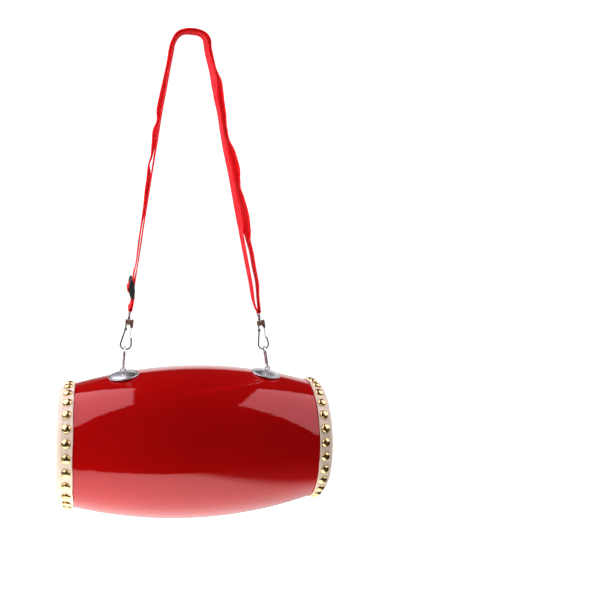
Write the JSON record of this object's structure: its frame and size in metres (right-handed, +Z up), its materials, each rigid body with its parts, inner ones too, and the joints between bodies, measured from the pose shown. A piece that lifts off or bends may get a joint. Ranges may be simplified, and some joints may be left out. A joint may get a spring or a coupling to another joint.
{
  "type": "tom tom drum",
  "caption": "Wooden barrel drum with a tacked skin on each end, hung by sprung wire hooks and oval links from an adjustable webbing shoulder strap.",
  "frame": {"origin": "underside of the strap's top, where a shoulder or a peg carries it", "axes": "+Z up along the hang, +X along the drum's axis to the viewer's right, +Y away from the viewer"},
  "size_m": [0.28, 0.162, 0.5056],
  "materials": {
    "shell_lacquer": "deep red gloss lacquer on wood",
    "skin": "cream drum skin, matt; its tacks are polished brass",
    "plate_metal": "bright pressed steel",
    "eye_pin_metal": "bright steel wire",
    "link_metal": "bright steel wire",
    "hook_metal": "grey steel wire",
    "knuckle_metal": "dark steel, grooved",
    "gate_metal": "bright spring steel",
    "webbing": "red woven webbing",
    "slider_plastic": "black moulded plastic"
  },
  "bodies": {
    "strap": {"strap": "webbing", "strap_end": "webbing", "strap_run": "webbing", "left_swivel_eye": "hook_metal", "right_swivel_eye": "hook_metal"},
    "slider": {"slider": "slider_plastic"},
    "drum": {"drum_shell": "shell_lacquer", "left_head": "skin", "right_head": "skin", "left_plate": "plate_metal", "right_plate": "plate_metal", "left_eye_pin": "eye_pin_metal", "right_eye_pin": "eye_pin_metal"},
    "left_hook": {"left_hook": "hook_metal", "left_knuckle": "knuckle_metal", "left_crimp": "gate_metal", "left_gate_pin": "hook_metal"},
    "left_gate": {"left_gate": "gate_metal"},
    "left_link": {"left_link": "link_metal"},
    "right_hook": {"right_hook": "hook_metal", "right_knuckle": "knuckle_metal", "right_crimp": "gate_metal", "right_gate_pin": "hook_metal"},
    "right_gate": {"right_gate": "gate_metal"},
    "right_link": {"right_link": "link_metal"}
  },
  "joints": [
    {"name": "slider_slide", "type": "slide", "parent": "strap", "child": "slider", "axis": [0.1421, 0, 0.9898], "range_m": [0, 0.07], "deforming": ["strap_end", "strap_run"]},
    {"name": "left_hook_swivel", "type": "hinge", "parent": "strap", "child": "left_hook", "pos_m": [-0.05844, 0, -0.31611], "axis": [0.1011, 0, 0.9949], "range_deg": [-25, 25]},
    {"name": "right_hook_swivel", "type": "hinge", "parent": "strap", "child": "right_hook", "pos_m": [0.08791, 0, -0.31645], "axis": [-0.2113, 0, 0.9774], "range_deg": [-25, 25]},
    {"name": "left_gate_hinge", "type": "hinge", "parent": "left_hook", "child": "left_gate", "pos_m": [-0.05235, 0, -0.2918], "axis": [0, 1, 0], "range_deg": [0, 25], "stiffness_Nm_per_rad": 0.02, "springref_deg": -11.46},
    {"name": "right_gate_hinge", "type": "hinge", "parent": "right_hook", "child": "right_gate", "pos_m": [0.08619, 0, -0.29145], "axis": [0, 1, 0], "range_deg": [0, 25], "stiffness_Nm_per_rad": 0.02, "springref_deg": -11.46},
    {"name": "left_link_swing", "type": "hinge", "parent": "strap", "child": "left_link", "pos_m": [-0.05894, 0, -0.31603], "axis": [1, 0, -0.0024], "range_deg": [-45, 45]},
    {"name": "right_link_swing", "type": "hinge", "parent": "strap", "child": "right_link", "pos_m": [0.0882, 0, -0.31638], "axis": [1, 0, -0.0024], "range_deg": [-45, 45]},
    {"name": "drum_swing", "type": "hinge", "parent": "left_link", "child": "drum", "pos_m": [-0.06021, 0, -0.33567], "axis": [1, 0, -0.0003], "range_deg": [-45, 45]}
  ],
  "couplings": [
    {"joint": "right_link_swing", "follows": "left_link_swing", "ratio": 1}
  ]
}
